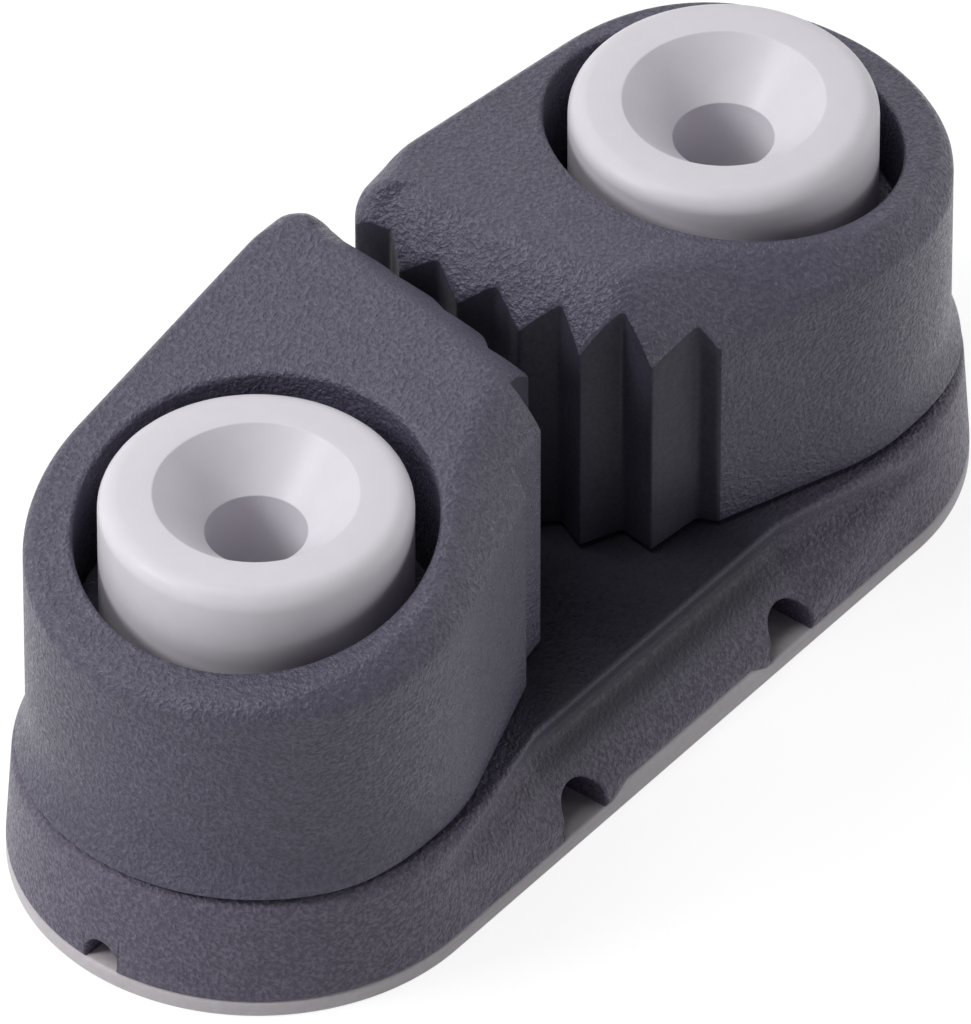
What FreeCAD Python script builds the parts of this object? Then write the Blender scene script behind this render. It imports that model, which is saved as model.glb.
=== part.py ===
import FreeCAD, Part
import math
import os

# Two-cam rope cleat for a boat deck, in millimetres, +Z up, underside on z = 0.
# X runs through both pivots, -X is the left cam. The rope lies along Y between the cams.

# Mounting and base
PIVOT_SPACING = 38.0
SCREW_HOLE_R = 2.6
COUNTERSINK_R = 5.2
PLATE_T = 1.0
BASE_END_R = 12.8
PLATE_END_R = BASE_END_R
DECK_Z = 7.3
FLANK_DRAFT = 0.4
DECK_END_R = BASE_END_R - FLANK_DRAFT
COVE_FULL_X = 10.0
COVE_END_X = 17.0
COVE_TOP_DEPTH = 2.0
COVE_MIDDLE_DEPTH = 1.95
COVE_MIDDLE_Z = 5.4
COVE_FOOT_DEPTH = 0.25
COVE_FOOT_Z = 2.6
LIP_H = 0.6
LIP_FOOT_X = 6.4
LIP_TOP_X = 5.2
LIP_DEPTH = 1.1
CUT_OVER = 1.0
CAVITY_HALF_W = 9.2
CAVITY_TOP_Z = 5.3
TUB_WALL_R = 12.2
DRAIN_X = 8.5
DRAIN_W = 3.3
DRAIN_H = 2.4
END_DRAIN_W = 2.0
END_DRAIN_H = 1.5
END_DRAIN_DEPTH = 1.5
DRAIN_INSET = 2.0

# Post, a headed bush that the deck screw passes through
POST_TOP_Z = 24.0
POST_HEAD_R = 7.95
POST_HEAD_Z = 15.8
POST_STEM_R = 5.0
POST_EDGE = 0.8

# Spring tub in the base and the boss inside it
TUB_R = 10.8
TUB_FLOOR_Z = 2.6
BOSS_R = 6.6
BOSS_TOP_Z = 6.8
BOSS_EDGE = 0.5
SLOT_OVERLAP = 0.6
SLOT_END_GAP = 0.2
WIRE_R = 0.6
COIL_R = 8.6
COIL_PITCH = 1.35
COIL_TURNS = 2.4
COIL_STEP_ANGLE = 20.0
COIL_FLOOR_GAP = 0.1
COIL_Z = TUB_FLOOR_Z + WIRE_R + COIL_FLOOR_GAP
CAM_LEG_TOP_Z = 10.6
BASE_LEG_R = 11.4
LEG_CLEARANCE = 0.15
LEG_WALL = 0.85
LEG_END_GAP = 0.4

# Cam, measured from its own pivot: u towards the other cam, v along the rope
CAM_BOTTOM_Z = 7.55
CAM_R = 11.75
CAM_FLARE = 0.6
FLARE_FROM_ANGLE = 90.0
FLARE_FULL_ANGLE = 125.0
CAM_FLARE_Z = 9.9
BEARING_BORE_R = 8.3
CAM_LEG_R = BEARING_BORE_R + LEG_WALL + LEG_CLEARANCE + WIRE_R
COUNTERBORE_R = 9.2
COUNTERBORE_Z = 15.2
TOP_Z_AT_PIVOT = {"left": 22.0, "right": 21.8}
TOP_RISE_U = {"left": 0.197, "right": 0.159}
TOP_RISE_V = 0.046
SIDE_V = {"left": 11.3, "right": 10.85}
FACE_DROP = {"left": 3.1, "right": 3.7}
BACK_DROP = 0.55
SIDE_ANGLE = 20.0
FACE_R = 47.0
FACE_U = 18.25
FACE_V = 7.0
TURN_R = 4.0
NOSE_R = 2.2
EDGE_SLOPES = (65.0, 51.7, 38.3, 25.0)
OUTLINE_SPANS = 8
TIPS = ((17.98, 10.2), (18.25, 6.6), (18.07, 2.95), (17.63, -0.6), (16.95, -4.0), (14.95, -7.08),
        (11.34, -8.37))
GROOVE_DEPTHS = (1.0, 0.85, 0.95, 1.25, 1.35, 0.85)
GROOVE_REACH = 0.6
GROOVE_PLACES = (0.60, 0.50, 0.48, 0.52, 0.57, 0.75)

# Bearing
RACE_R = 7.5
RACE_FLANGE_Z = 8.15
BALL_R = 1.0
BALL_PITCH_R = (POST_STEM_R + RACE_R) / 2.0
BALLS_IN_ROW = 12
CAGE_INNER_R = 5.55
CAGE_OUTER_R = 6.95
CAGE_H = 3.4
WASHER_R = 8.9
STEM_CLEARANCE = 0.05
RACE_CLEARANCE = 0.3
POCKET_CLEARANCE = 0.12
POCKET_LENGTH = 3.0

SIDES = (("left", -1.0), ("right", 1.0))
half = PIVOT_SPACING / 2.0
UP = FreeCAD.Vector(0, 0, 1)


def vec(x, y, z):
    return FreeCAD.Vector(x, y, z)


def rod(radius, z0, z1, x=0.0, y=0.0):
    return Part.makeCylinder(radius, z1 - z0, vec(x, y, z0))


def ring(inner, outer, z0, z1, x=0.0):
    return rod(outer, z0, z1, x).cut(rod(inner, z0 - CUT_OVER, z1 + CUT_OVER, x))


def box(x0, x1, y0, y1, z0, z1):
    return Part.makeBox(x1 - x0, y1 - y0, z1 - z0, vec(x0, y0, z0))


def turned(points, x):
    """Solid of revolution about the pivot from (radius, z) points."""
    wire = Part.makePolygon([vec(x + r, 0, z) for r, z in points] + [vec(x + points[0][0], 0, points[0][1])])
    return Part.Face(wire).revolve(vec(x, 0, 0), UP, 360)


def stadium(radius, z0, z1):
    body = box(-half, half, -radius, radius, z0, z1)
    return body.fuse([rod(radius, z0, z1, -half), rod(radius, z0, z1, half)]).removeSplitter()


def mirrored(shape, side):
    """Shapes are drawn for the left pivot; the right one is their mirror image."""
    if side < 0:
        return shape
    return shape.mirror(vec(0, 0, 0), vec(1, 0, 0))


# Base body: drafted all round, scooped along both sides where the rope runs over the deck edge
def cove_run(x, length, shift):
    """Prism with a concave face that scoops the flank, moving outwards by the shift over its length."""
    top = vec(x, BASE_END_R - COVE_TOP_DEPTH, DECK_Z)
    middle = vec(x, BASE_END_R - COVE_MIDDLE_DEPTH, COVE_MIDDLE_Z)
    foot = vec(x, BASE_END_R - COVE_FOOT_DEPTH, COVE_FOOT_Z)
    outside_y = BASE_END_R + COVE_TOP_DEPTH
    around = [foot, vec(x, outside_y, COVE_FOOT_Z), vec(x, outside_y, DECK_Z + CUT_OVER),
              vec(x, top.y, DECK_Z + CUT_OVER), top]
    edges = [Part.Arc(top, middle, foot).toShape()] + Part.makePolygon(around).Edges
    return Part.Face(Part.Wire(edges)).extrude(vec(length, shift, 0))


def rectangle(half_x, half_y, z):
    corners = [(-1, -1), (1, -1), (1, 1), (-1, 1), (-1, -1)]
    return Part.makePolygon([vec(sx * half_x, sy * half_y, z) for sx, sy in corners])


base = Part.makeLoft([rectangle(half, BASE_END_R, PLATE_T), rectangle(half, DECK_END_R, DECK_Z)], True, True)
for side in (-1.0, 1.0):
    base = base.fuse(Part.makeCone(BASE_END_R, DECK_END_R, DECK_Z - PLATE_T, vec(side * half, 0, PLATE_T)))
base = base.removeSplitter()
run_length = COVE_END_X - COVE_FULL_X
run_out = COVE_TOP_DEPTH - FLANK_DRAFT / 2
cove = cove_run(-COVE_FULL_X, 2 * COVE_FULL_X, 0.0)
cove = cove.fuse([cove_run(COVE_FULL_X, run_length, run_out), cove_run(-COVE_FULL_X, -run_length, run_out)])
base = base.cut(cove)
cove.rotate(vec(0, 0, 0), UP, 180)
base = base.cut(cove)

# Bottom plate, with a low lip on each long side that fills a notch in the base body's lower edge
plate = stadium(PLATE_END_R, 0.0, PLATE_T)
for side in (-1.0, 1.0):
    lip_corners = [(-LIP_FOOT_X, PLATE_T), (LIP_FOOT_X, PLATE_T), (LIP_TOP_X, PLATE_T + LIP_H),
                   (-LIP_TOP_X, PLATE_T + LIP_H), (-LIP_FOOT_X, PLATE_T)]
    inner_y = side * (BASE_END_R - LIP_DEPTH)
    prism = Part.Face(Part.makePolygon([vec(x, inner_y, z) for x, z in lip_corners]))
    lip = base.common(prism.extrude(vec(0, side * 2 * LIP_DEPTH, 0)))
    base = base.cut(lip)
    plate = plate.fuse(lip)
plate = plate.removeSplitter()
for side in (-1.0, 1.0):
    plate = plate.cut(rod(SCREW_HOLE_R, -CUT_OVER, PLATE_T + CUT_OVER, side * half))


# Cavity under the deck, tub walls round the springs, and drains
cavity = box(-half, half, -CAVITY_HALF_W, CAVITY_HALF_W, PLATE_T - CUT_OVER, CAVITY_TOP_Z)
for side in (-1.0, 1.0):
    cavity = cavity.cut(rod(TUB_WALL_R, 0.0, DECK_Z, side * half))
base = base.cut(cavity)


def drain(width, height, reach):
    """Arched slot along +Y, from the plate up, centred on x = 0."""
    low = box(-width / 2, width / 2, 0, reach, 0.0, PLATE_T + height - width / 2)
    arch = Part.makeCylinder(width / 2, reach, vec(0, 0, PLATE_T + height - width / 2), vec(0, 1, 0))
    return low.fuse(arch)


for x_side in (-1.0, 1.0):
    for y_side in (-1.0, 1.0):
        slot = drain(DRAIN_W, DRAIN_H, BASE_END_R)
        slot.translate(vec(0, CAVITY_HALF_W - DRAIN_INSET, 0))
        if y_side < 0:
            slot.rotate(vec(0, 0, 0), UP, 180)
        slot.translate(vec(x_side * DRAIN_X, 0, 0))
        base = base.cut(slot)
    end_slot = drain(END_DRAIN_W, END_DRAIN_H, END_DRAIN_DEPTH + CUT_OVER)
    end_slot.rotate(vec(0, 0, 0), UP, -90 * x_side)
    end_slot.translate(vec(x_side * (half + BASE_END_R - END_DRAIN_DEPTH), 0, 0))
    base = base.cut(end_slot)

COIL_END_Z = COIL_Z + COIL_PITCH * COIL_TURNS
for side in (-1.0, 1.0):
    tub = ring(BOSS_R, TUB_R, TUB_FLOOR_Z, DECK_Z + CUT_OVER, side * half)
    top_of_boss = rod(BOSS_R + BOSS_EDGE, BOSS_TOP_Z, DECK_Z + CUT_OVER, side * half)
    stem_hole = rod(POST_STEM_R, 0.0, DECK_Z + CUT_OVER, side * half)
    leg_slot = box(TUB_R - SLOT_OVERLAP, BASE_LEG_R + SLOT_END_GAP, -WIRE_R - LEG_CLEARANCE,
                   WIRE_R + LEG_CLEARANCE, TUB_FLOOR_Z, DECK_Z + CUT_OVER)
    leg_slot.rotate(vec(0, 0, 0), UP, 180)
    leg_slot.translate(vec(-half, 0, 0))
    base = base.cut(tub.fuse([top_of_boss, stem_hole, mirrored(leg_slot, side)]))
base = base.removeSplitter()


# Cam outline and its shoulder
def top_z(cam_side, u, v):
    return TOP_Z_AT_PIVOT[cam_side] + TOP_RISE_U[cam_side] * u + TOP_RISE_V * v


def outline(cam_side):
    """Closed outline as (u, v, outward angle in degrees), from the back of the cam anticlockwise."""
    n = math.radians(SIDE_ANGLE - 90.0)
    nu, nv = math.cos(n), math.sin(n)
    cu, cv = FACE_U - FACE_R, FACE_V
    d = CAM_R - TURN_R
    along_u, along_v = -nv, nu
    pu, pv = d * nu - cu, d * nv - cv
    half_b = pu * along_u + pv * along_v
    s = -half_b + math.sqrt(half_b ** 2 - (pu ** 2 + pv ** 2 - (FACE_R - TURN_R) ** 2))
    tu, tv = d * nu + s * along_u, d * nv + s * along_v
    face_start = math.degrees(math.atan2(tv - cv, tu - cu))
    side_v = SIDE_V[cam_side]
    nose_v = side_v - NOSE_R
    nose_u = cu + math.sqrt((FACE_R - NOSE_R) ** 2 - (nose_v - cv) ** 2)
    face_end = math.degrees(math.atan2(nose_v - cv, nose_u - cu))
    pts = []

    def arc(au, av, r, a0, a1, count):
        for i in range(count):
            a = a0 + (a1 - a0) * i / count
            pts.append((au + r * math.cos(math.radians(a)), av + r * math.sin(math.radians(a)), a))

    def line(u0, v0, u1, v1, angle, count):
        for i in range(count):
            t = i / count
            pts.append((u0 + (u1 - u0) * t, v0 + (v1 - v0) * t, angle))

    side_a = SIDE_ANGLE - 90.0
    arc(0, 0, CAM_R, -180.0, side_a, 22)
    line(CAM_R * nu, CAM_R * nv, tu + TURN_R * nu, tv + TURN_R * nv, side_a, 9)
    arc(tu, tv, TURN_R, side_a, face_start, 6)
    arc(cu, cv, FACE_R, face_start, face_end, 13)
    arc(nose_u, nose_v, NOSE_R, face_end, 90.0, 8)
    line(nose_u, side_v, 0.0, side_v, 90.0, 13)
    for i in range(18):
        a = 90.0 + 90.0 * i / 18
        r = table(a, ((90.0, side_v), (150.0, CAM_R)))
        pts.append((r * math.cos(math.radians(a)), r * math.sin(math.radians(a)), a))
    return pts


def table(x, rows):
    for (x0, y0), (x1, y1) in zip(rows, rows[1:]):
        if x <= x1:
            t = min(1.0, max(0.0, (x - x0) / (x1 - x0)))
            t = t * t * (3.0 - 2.0 * t)
            return y0 + (y1 - y0) * t
    return rows[-1][1]


def shoulder(cam_side, u, v):
    """Width and drop of the soft shoulder: small round the back, large along the rope face."""
    a = math.degrees(math.atan2(v, u))
    face = FACE_DROP[cam_side]
    back = BACK_DROP
    drop = table(a, ((-120, back), (-90, 0.9), (-71, 1.5), (-37, face), (31, face), (46, back)))
    width = table(a, ((-120, back), (-90, 1.1), (-71, 1.8), (-37, 3.0), (10, 3.0), (24, 1.9), (36, 1.3),
                      (46, back)))
    return width, drop


def chord_lengths(points):
    """Running length round the closed outline; every level curve shares it, so the levels match."""
    lengths = [0.0]
    for (u0, v0, a0), (u1, v1, a1) in zip(points, points[1:] + points[:1]):
        lengths.append(lengths[-1] + math.hypot(u1 - u0, v1 - v0))
    return lengths


def closed_wire(points, lengths):
    curve = Part.BSplineCurve()
    curve.interpolate(Points=[vec(*p) for p in points], PeriodicFlag=True, Parameters=lengths)
    joints = [lengths[i * len(points) // OUTLINE_SPANS] for i in range(OUTLINE_SPANS)] + [lengths[-1]]
    return Part.Wire([curve.toShape(start, end) for start, end in zip(joints, joints[1:])])


def level(cam_side, points, slope):
    hi, lo = EDGE_SLOPES[0], EDGE_SLOPES[-1]
    out = []
    for u, v, a in points:
        width, drop = shoulder(cam_side, u, v)
        inset = width * (math.sin(math.radians(hi)) - math.sin(math.radians(slope)))
        inset /= math.sin(math.radians(hi)) - math.sin(math.radians(lo))
        fall = drop * (math.cos(math.radians(lo)) - math.cos(math.radians(slope)))
        fall /= math.cos(math.radians(lo)) - math.cos(math.radians(hi))
        uu = u - inset * math.cos(math.radians(a))
        vv = v - inset * math.sin(math.radians(a))
        out.append((uu, vv, top_z(cam_side, uu, vv) - fall))
    return out


def foot_point(u, v, a):
    """The wall flares out at its foot, but only round the back of the cam."""
    back = abs(math.degrees(math.atan2(v, u)))
    out = table(back, ((FLARE_FROM_ANGLE, 0.0), (FLARE_FULL_ANGLE, CAM_FLARE)))
    return (u + out * math.cos(math.radians(a)), v + out * math.sin(math.radians(a)), CAM_BOTTOM_Z)


def cam_blank(cam_side):
    points = outline(cam_side)
    lengths = chord_lengths(points)
    foot = closed_wire([foot_point(*p) for p in points], lengths)
    waist = closed_wire([(u, v, CAM_FLARE_Z) for u, v, a in points], lengths)
    levels = [closed_wire(level(cam_side, points, s), lengths) for s in EDGE_SLOPES]
    skirt = Part.makeLoft([foot, waist], False, True)
    wall = Part.makeLoft([waist, levels[0]], False, True)
    crown = Part.makeLoft(levels, False, False)
    shell = Part.Shell(skirt.Faces + wall.Faces + crown.Faces + [Part.Face(levels[-1]), Part.Face(foot)])
    shell.sewShape()
    blank = Part.Solid(shell)
    if blank.Volume < 0:
        blank.reverse()
    return blank


def groove(index):
    """Vertical V between two tooth tips, leaning like a saw tooth."""
    (u0, v0), (u1, v1) = TIPS[index], TIPS[index + 1]
    du, dv = u1 - u0, v1 - v0
    length = math.hypot(du, dv)
    inward = (dv / length, -du / length)
    k, depth = GROOVE_PLACES[index], GROOVE_DEPTHS[index]
    vu, vv = u0 + du * k + inward[0] * depth, v0 + dv * k + inward[1] * depth
    corners = [(vu, vv)]
    for tu, tv in ((u0, v0), (u1, v1)):
        corners.append((tu + (tu - vu) * GROOVE_REACH, tv + (tv - vv) * GROOVE_REACH))
    wire = Part.makePolygon([vec(u, v, CAM_BOTTOM_Z - CUT_OVER) for u, v in corners + corners[:1]])
    return Part.Face(wire).extrude(vec(0, 0, POST_TOP_Z))


COIL_END_ANGLE = 180.0 + 360.0 * COIL_TURNS
leg_u = math.cos(math.radians(COIL_END_ANGLE))
leg_v = math.sin(math.radians(COIL_END_ANGLE))


def finished_cam(cam_side):
    cam = cam_blank(cam_side)
    for i in range(len(GROOVE_DEPTHS)):
        cam = cam.cut(groove(i))
    cam = cam.cut(rod(COUNTERBORE_R, COUNTERBORE_Z, POST_TOP_Z + COUNTERBORE_R))
    cam = cam.cut(rod(BEARING_BORE_R, CAM_BOTTOM_Z - CUT_OVER, COUNTERBORE_Z + CUT_OVER))
    cam = cam.cut(rod(WIRE_R + LEG_CLEARANCE, CAM_BOTTOM_Z - CUT_OVER, CAM_LEG_TOP_Z + LEG_END_GAP,
                      CAM_LEG_R * leg_u, CAM_LEG_R * leg_v))
    cam.translate(vec(-half, 0, 0))
    return cam


# Torsion spring: a coil with one leg out into the base and one leg up into the cam
coil_steps = int(round(360.0 * COIL_TURNS / COIL_STEP_ANGLE))
spring_path = [vec(-BASE_LEG_R, 0, COIL_Z)]
for i in range(coil_steps + 1):
    turns = COIL_TURNS * i / coil_steps
    a = math.radians(180.0 + 360.0 * turns)
    spring_path.append(vec(COIL_R * math.cos(a), COIL_R * math.sin(a), COIL_Z + COIL_PITCH * turns))
spring_path.append(vec(CAM_LEG_R * leg_u, CAM_LEG_R * leg_v, COIL_END_Z))
spring_path.append(vec(CAM_LEG_R * leg_u, CAM_LEG_R * leg_v, CAM_LEG_TOP_Z))
section = Part.Wire(Part.Circle(spring_path[0], spring_path[1].sub(spring_path[0]), WIRE_R).toShape())
MITRED = 1
spring = Part.makePolygon(spring_path).makePipeShell([section], True, False, MITRED)
spring.translate(vec(-half, 0, 0))


# Post, race, washers, cages and balls
post = turned([(SCREW_HOLE_R, PLATE_T), (POST_STEM_R, PLATE_T), (POST_STEM_R, POST_HEAD_Z),
               (POST_HEAD_R, POST_HEAD_Z), (POST_HEAD_R, POST_TOP_Z), (COUNTERSINK_R, POST_TOP_Z),
               (SCREW_HOLE_R, POST_TOP_Z - (COUNTERSINK_R - SCREW_HOLE_R))], -half)
rim = [e for e in post.Edges if hasattr(e.Curve, "Radius") and abs(e.Curve.Radius - POST_HEAD_R) < 1e-6
       and abs(e.Vertexes[0].Z - POST_TOP_Z) < 1e-6]
post = post.makeFillet(POST_EDGE, rim)

race_bore_r = POST_STEM_R + RACE_CLEARANCE
race = turned([(race_bore_r, CAM_BOTTOM_Z), (BEARING_BORE_R, CAM_BOTTOM_Z), (BEARING_BORE_R, COUNTERBORE_Z),
               (RACE_R, COUNTERBORE_Z), (RACE_R, RACE_FLANGE_Z), (race_bore_r, RACE_FLANGE_Z)], -half)
lower_washer = ring(POST_STEM_R + STEM_CLEARANCE, BOSS_R, BOSS_TOP_Z, CAM_BOTTOM_Z, -half)
upper_washer = ring(POST_STEM_R + STEM_CLEARANCE, WASHER_R, COUNTERBORE_Z, POST_HEAD_Z, -half)


def cage_and_balls(z0):
    cage = ring(CAGE_INNER_R, CAGE_OUTER_R, z0, z0 + CAGE_H)
    balls = []
    for i in range(BALLS_IN_ROW):
        a = 360.0 * i / BALLS_IN_ROW
        pocket = Part.makeCylinder(BALL_R + POCKET_CLEARANCE, POCKET_LENGTH,
                                   vec(BALL_PITCH_R - POCKET_LENGTH / 2, 0, z0 + CAGE_H / 2), vec(1, 0, 0))
        pocket.rotate(vec(0, 0, 0), UP, a)
        cage = cage.cut(pocket)
        ball = Part.makeSphere(BALL_R, vec(BALL_PITCH_R, 0, z0 + CAGE_H / 2))
        ball.rotate(vec(0, 0, 0), UP, a)
        ball.translate(vec(-half, 0, 0))
        balls.append(ball)
    cage.translate(vec(-half, 0, 0))
    return cage, Part.makeCompound(balls)


lower_cage, lower_balls = cage_and_balls(RACE_FLANGE_Z)
upper_cage, upper_balls = cage_and_balls(RACE_FLANGE_Z + CAGE_H)

nodes = {"base_body": base, "bottom_plate": plate}
handed = {"spring": spring, "post": post, "cam_race": race, "lower_washer": lower_washer,
          "upper_washer": upper_washer, "lower_ball_cage": lower_cage, "lower_balls": lower_balls,
          "upper_ball_cage": upper_cage, "upper_balls": upper_balls}
for side_name, side in SIDES:
    nodes[side_name + "_cam"] = mirrored(finished_cam(side_name), side)
    for piece_name, shape in handed.items():
        nodes[side_name + "_" + piece_name] = mirrored(shape, side)

os.makedirs("parts", exist_ok=True)
for name, shape in nodes.items():
    shape.exportStep("parts/" + name + ".step")
    b = shape.BoundBox
    print("%-22s solids %2d valid %s volume %9.2f  x %.2f..%.2f y %.2f..%.2f z %.2f..%.2f" % (
        name, len(shape.Solids), shape.isValid(), shape.Volume, b.XMin, b.XMax, b.YMin, b.YMax, b.ZMin, b.ZMax))
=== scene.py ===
# %% [markdown]
# A two-cam rope cleat for a boat deck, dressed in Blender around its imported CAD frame.
# The frame brings every solid in metres, in its own place, with the body that it moves with. This lesson
# gives each visible piece a cleaner mesh than the CAD tessellation, and a finish like the real one.
# The cells follow the order in which a maker would work: picture first, then finishes, then piece by piece.

# %% Load the frame
import math
import bmesh
import bpy
import numpy as np
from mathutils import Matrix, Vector


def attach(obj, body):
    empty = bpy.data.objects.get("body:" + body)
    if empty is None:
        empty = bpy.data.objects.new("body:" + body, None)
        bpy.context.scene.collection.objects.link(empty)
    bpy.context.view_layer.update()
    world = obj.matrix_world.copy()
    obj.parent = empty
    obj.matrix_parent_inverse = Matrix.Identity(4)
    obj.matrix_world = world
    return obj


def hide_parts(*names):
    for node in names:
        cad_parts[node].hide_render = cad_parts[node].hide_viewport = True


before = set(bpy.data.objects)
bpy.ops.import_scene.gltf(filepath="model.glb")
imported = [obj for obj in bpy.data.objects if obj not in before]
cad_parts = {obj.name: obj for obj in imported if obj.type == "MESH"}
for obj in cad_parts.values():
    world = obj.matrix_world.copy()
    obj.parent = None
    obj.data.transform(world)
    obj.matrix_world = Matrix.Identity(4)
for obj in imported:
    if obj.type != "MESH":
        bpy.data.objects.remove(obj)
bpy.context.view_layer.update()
MM = 0.001

# %% [markdown]
# The picture is taken with a long lens from the side where the rope leaves the cleat, 51.7 degrees round
# and 42.6 degrees up. A long lens keeps parallel edges parallel, as they are in a small product picture.
# The camera stands on the line of sight through the origin and is aimed a few millimetres higher, so that
# the whole cleat fills the frame. That is simpler than a lens shift and stays right in the other views.

# %% Camera
AZIMUTH = math.radians(51.67)
ELEVATION = math.radians(42.58)
DISTANCE = 1.216
FOCAL_PIXELS = 23821.0
PICTURE_HEIGHT = 1024.0
SENSOR = 36.0
AIM_RIGHT = -0.000332
AIM_UP = 0.006743


def add_object(name, data):
    thing = bpy.data.objects.new(name, data)
    bpy.context.collection.objects.link(thing)
    return thing


view_right = Vector((math.cos(AZIMUTH), -math.sin(AZIMUTH), 0.0))
level_camera = Vector((-math.sin(AZIMUTH), -math.cos(AZIMUTH), 0.0))
towards_camera = level_camera * math.cos(ELEVATION) + Vector((0.0, 0.0, math.sin(ELEVATION)))
view_up = towards_camera.cross(view_right)

camera_data = bpy.data.cameras.new("camera")
camera_data.sensor_fit = "VERTICAL"
camera_data.sensor_height = SENSOR
camera_data.lens = FOCAL_PIXELS / PICTURE_HEIGHT * SENSOR
camera = add_object("camera", camera_data)
camera.location = towards_camera * DISTANCE
aim = view_right * AIM_RIGHT + view_up * AIM_UP
camera.rotation_euler = (aim - camera.location).to_track_quat("-Z", "Y").to_euler()
bpy.context.scene.camera = camera
print("camera at", tuple(round(c, 4) for c in camera.location), "lens %.1f mm" % camera_data.lens)

# %% [markdown]
# A black moulding in a white room shows its form by soft light. A broad lamp hangs over the cleat, a
# second strong one stands on the left, and four weaker ones fill in behind, on the right and low in front.
# The white floor throws light back at the walls, so the room itself gives nearly nothing and the jaws stay
# dark between the cams. Together the lamps light a level surface at nearly one, so a colour renders about
# as it is written. Each row holds a name, the two angles that say where the lamp stands, its watts and its
# width in metres. The first angle is seen from the camera: 0 degrees is right, 90 is its own side.

# %% Lamps
LAMP_DISTANCE = 0.62
LAMPS = (
    ("top_lamp", 172, 70, 1.5, 0.34),
    ("left_lamp", 164, 37, 1.65, 0.2),
    ("front_lamp", 132, 12, 0.32, 0.26),
    ("back_lamp", 250, 48, 0.75, 0.3),
    ("right_lamp", 336, 12, 0.55, 0.3),
    ("low_right_lamp", 8, 5, 0.7, 0.3),
)

for lamp_name, azimuth, elevation, watts, size in LAMPS:
    turn, rise = math.radians(azimuth), math.radians(elevation)
    direction = (view_right * math.cos(turn) + level_camera * math.sin(turn)) * math.cos(rise)
    direction.z = math.sin(rise)
    lamp_data = bpy.data.lights.new(lamp_name, "AREA")
    lamp_data.shape = "DISK"
    lamp_data.size = size
    lamp_data.energy = watts
    lamp = add_object(lamp_name, lamp_data)
    lamp.location = direction * LAMP_DISTANCE
    lamp.rotation_euler = direction.to_track_quat("Z", "Y").to_euler()

# %% [markdown]
# Finishes, the room and the spun shapes are trees of nodes, so a few small helpers keep them readable. The
# last mixes two shaders by the kind of ray: the camera, glossy and clear surfaces see a white room and a
# white floor, and only a little of that light falls on the cleat.

# %% Node helpers and the room
FILL_COLOUR = (0.97, 0.97, 1.0, 1)
FILL_STRENGTH = 0.07
SEEN_RAYS = ("Is Camera Ray", "Is Glossy Ray", "Is Transmission Ray")


def feed(tree, node, values):
    """Give a node's inputs plain values, or link them to the outputs of other nodes."""
    for socket, value in values.items():
        if isinstance(value, bpy.types.NodeSocket):
            tree.links.new(value, node.inputs[socket])
        else:
            node.inputs[socket].default_value = value


def add_node(tree, kind, values=None):
    node = tree.nodes.new(kind)
    feed(tree, node, values or {})
    return node


def wire_up(tree, rows):
    """Links from rows of (node, output, node, input)."""
    for source, output, target, socket in rows:
        tree.links.new(source.outputs[output], target.inputs[socket])


def maths(tree, operation, *values):
    """A sum on plain numbers and on the outputs of other nodes."""
    node = add_node(tree, "ShaderNodeMath")
    node.operation = operation
    feed(tree, node, dict(enumerate(values)))
    return node.outputs[0]


def mix_by_ray(tree, unseen, seen, output):
    """The seen shader for the rays that show a surface, and the unseen one for the light that it gives."""
    path = add_node(tree, "ShaderNodeLightPath")
    is_seen = path.outputs[SEEN_RAYS[0]]
    for name in SEEN_RAYS[1:]:
        is_seen = maths(tree, "MAXIMUM", is_seen, path.outputs[name])
    mix = add_node(tree, "ShaderNodeMixShader", {"Fac": is_seen})
    wire_up(tree, ((unseen, 0, mix, 1), (seen, 0, mix, 2), (mix, 0, output, "Surface")))


world = bpy.data.worlds.new("pale_room")
bpy.context.scene.world = world
world.use_nodes = True
room = world.node_tree
room.nodes.clear()
fill_room = add_node(room, "ShaderNodeBackground", {"Color": FILL_COLOUR, "Strength": FILL_STRENGTH})
white_room = add_node(room, "ShaderNodeBackground", {"Color": (1, 1, 1, 1), "Strength": 1.0})
mix_by_ray(room, fill_room, white_room, add_node(room, "ShaderNodeOutputWorld"))

bpy.context.scene.view_settings.view_transform = "Standard"
print("room nodes", [n.name for n in room.nodes])

# %% [markdown]
# A finish is a small node tree. Every one here reads Object coordinates, which are metres in the frame of
# the cleat, so a noise of 4200 a metre is a grain of about a quarter of a millimetre. Colour, roughness and
# height each get their own variation, because a single flat colour never looks moulded.
# The helper below makes the tree from a few plain numbers: how big the grain is, how much it changes the
# colour and the gloss, and how high it stands. The same shine all over is set on the shader itself; it is
# low on the black nylon, whose grain breaks up the light of the room. The black of the base is painted a
# touch lighter than that of the cams: painted light, for the light thrown onto its flank from the floor
# and the low lamps on the right.
# Where the rope runs, the tool for such a part is polished, so the teeth, the deck between the cams and the
# scoop under its edge are smoother than the grained outside. Their darker tone is painted shade: the shade
# that falls in the jaws between the cams and under the deck edge, painted into their colour.

# %% Finishes
NYLON_DARK = (0.064, 0.059, 0.089)
NYLON_LIGHT = (0.124, 0.115, 0.168)
# The base's tones are painted lighter than the cams': painted light, for the light on its flank.
BASE_DARK_PAINTED_LIGHTER = (0.092, 0.081, 0.117)
BASE_LIGHT_PAINTED_LIGHTER = (0.176, 0.160, 0.218)
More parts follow.
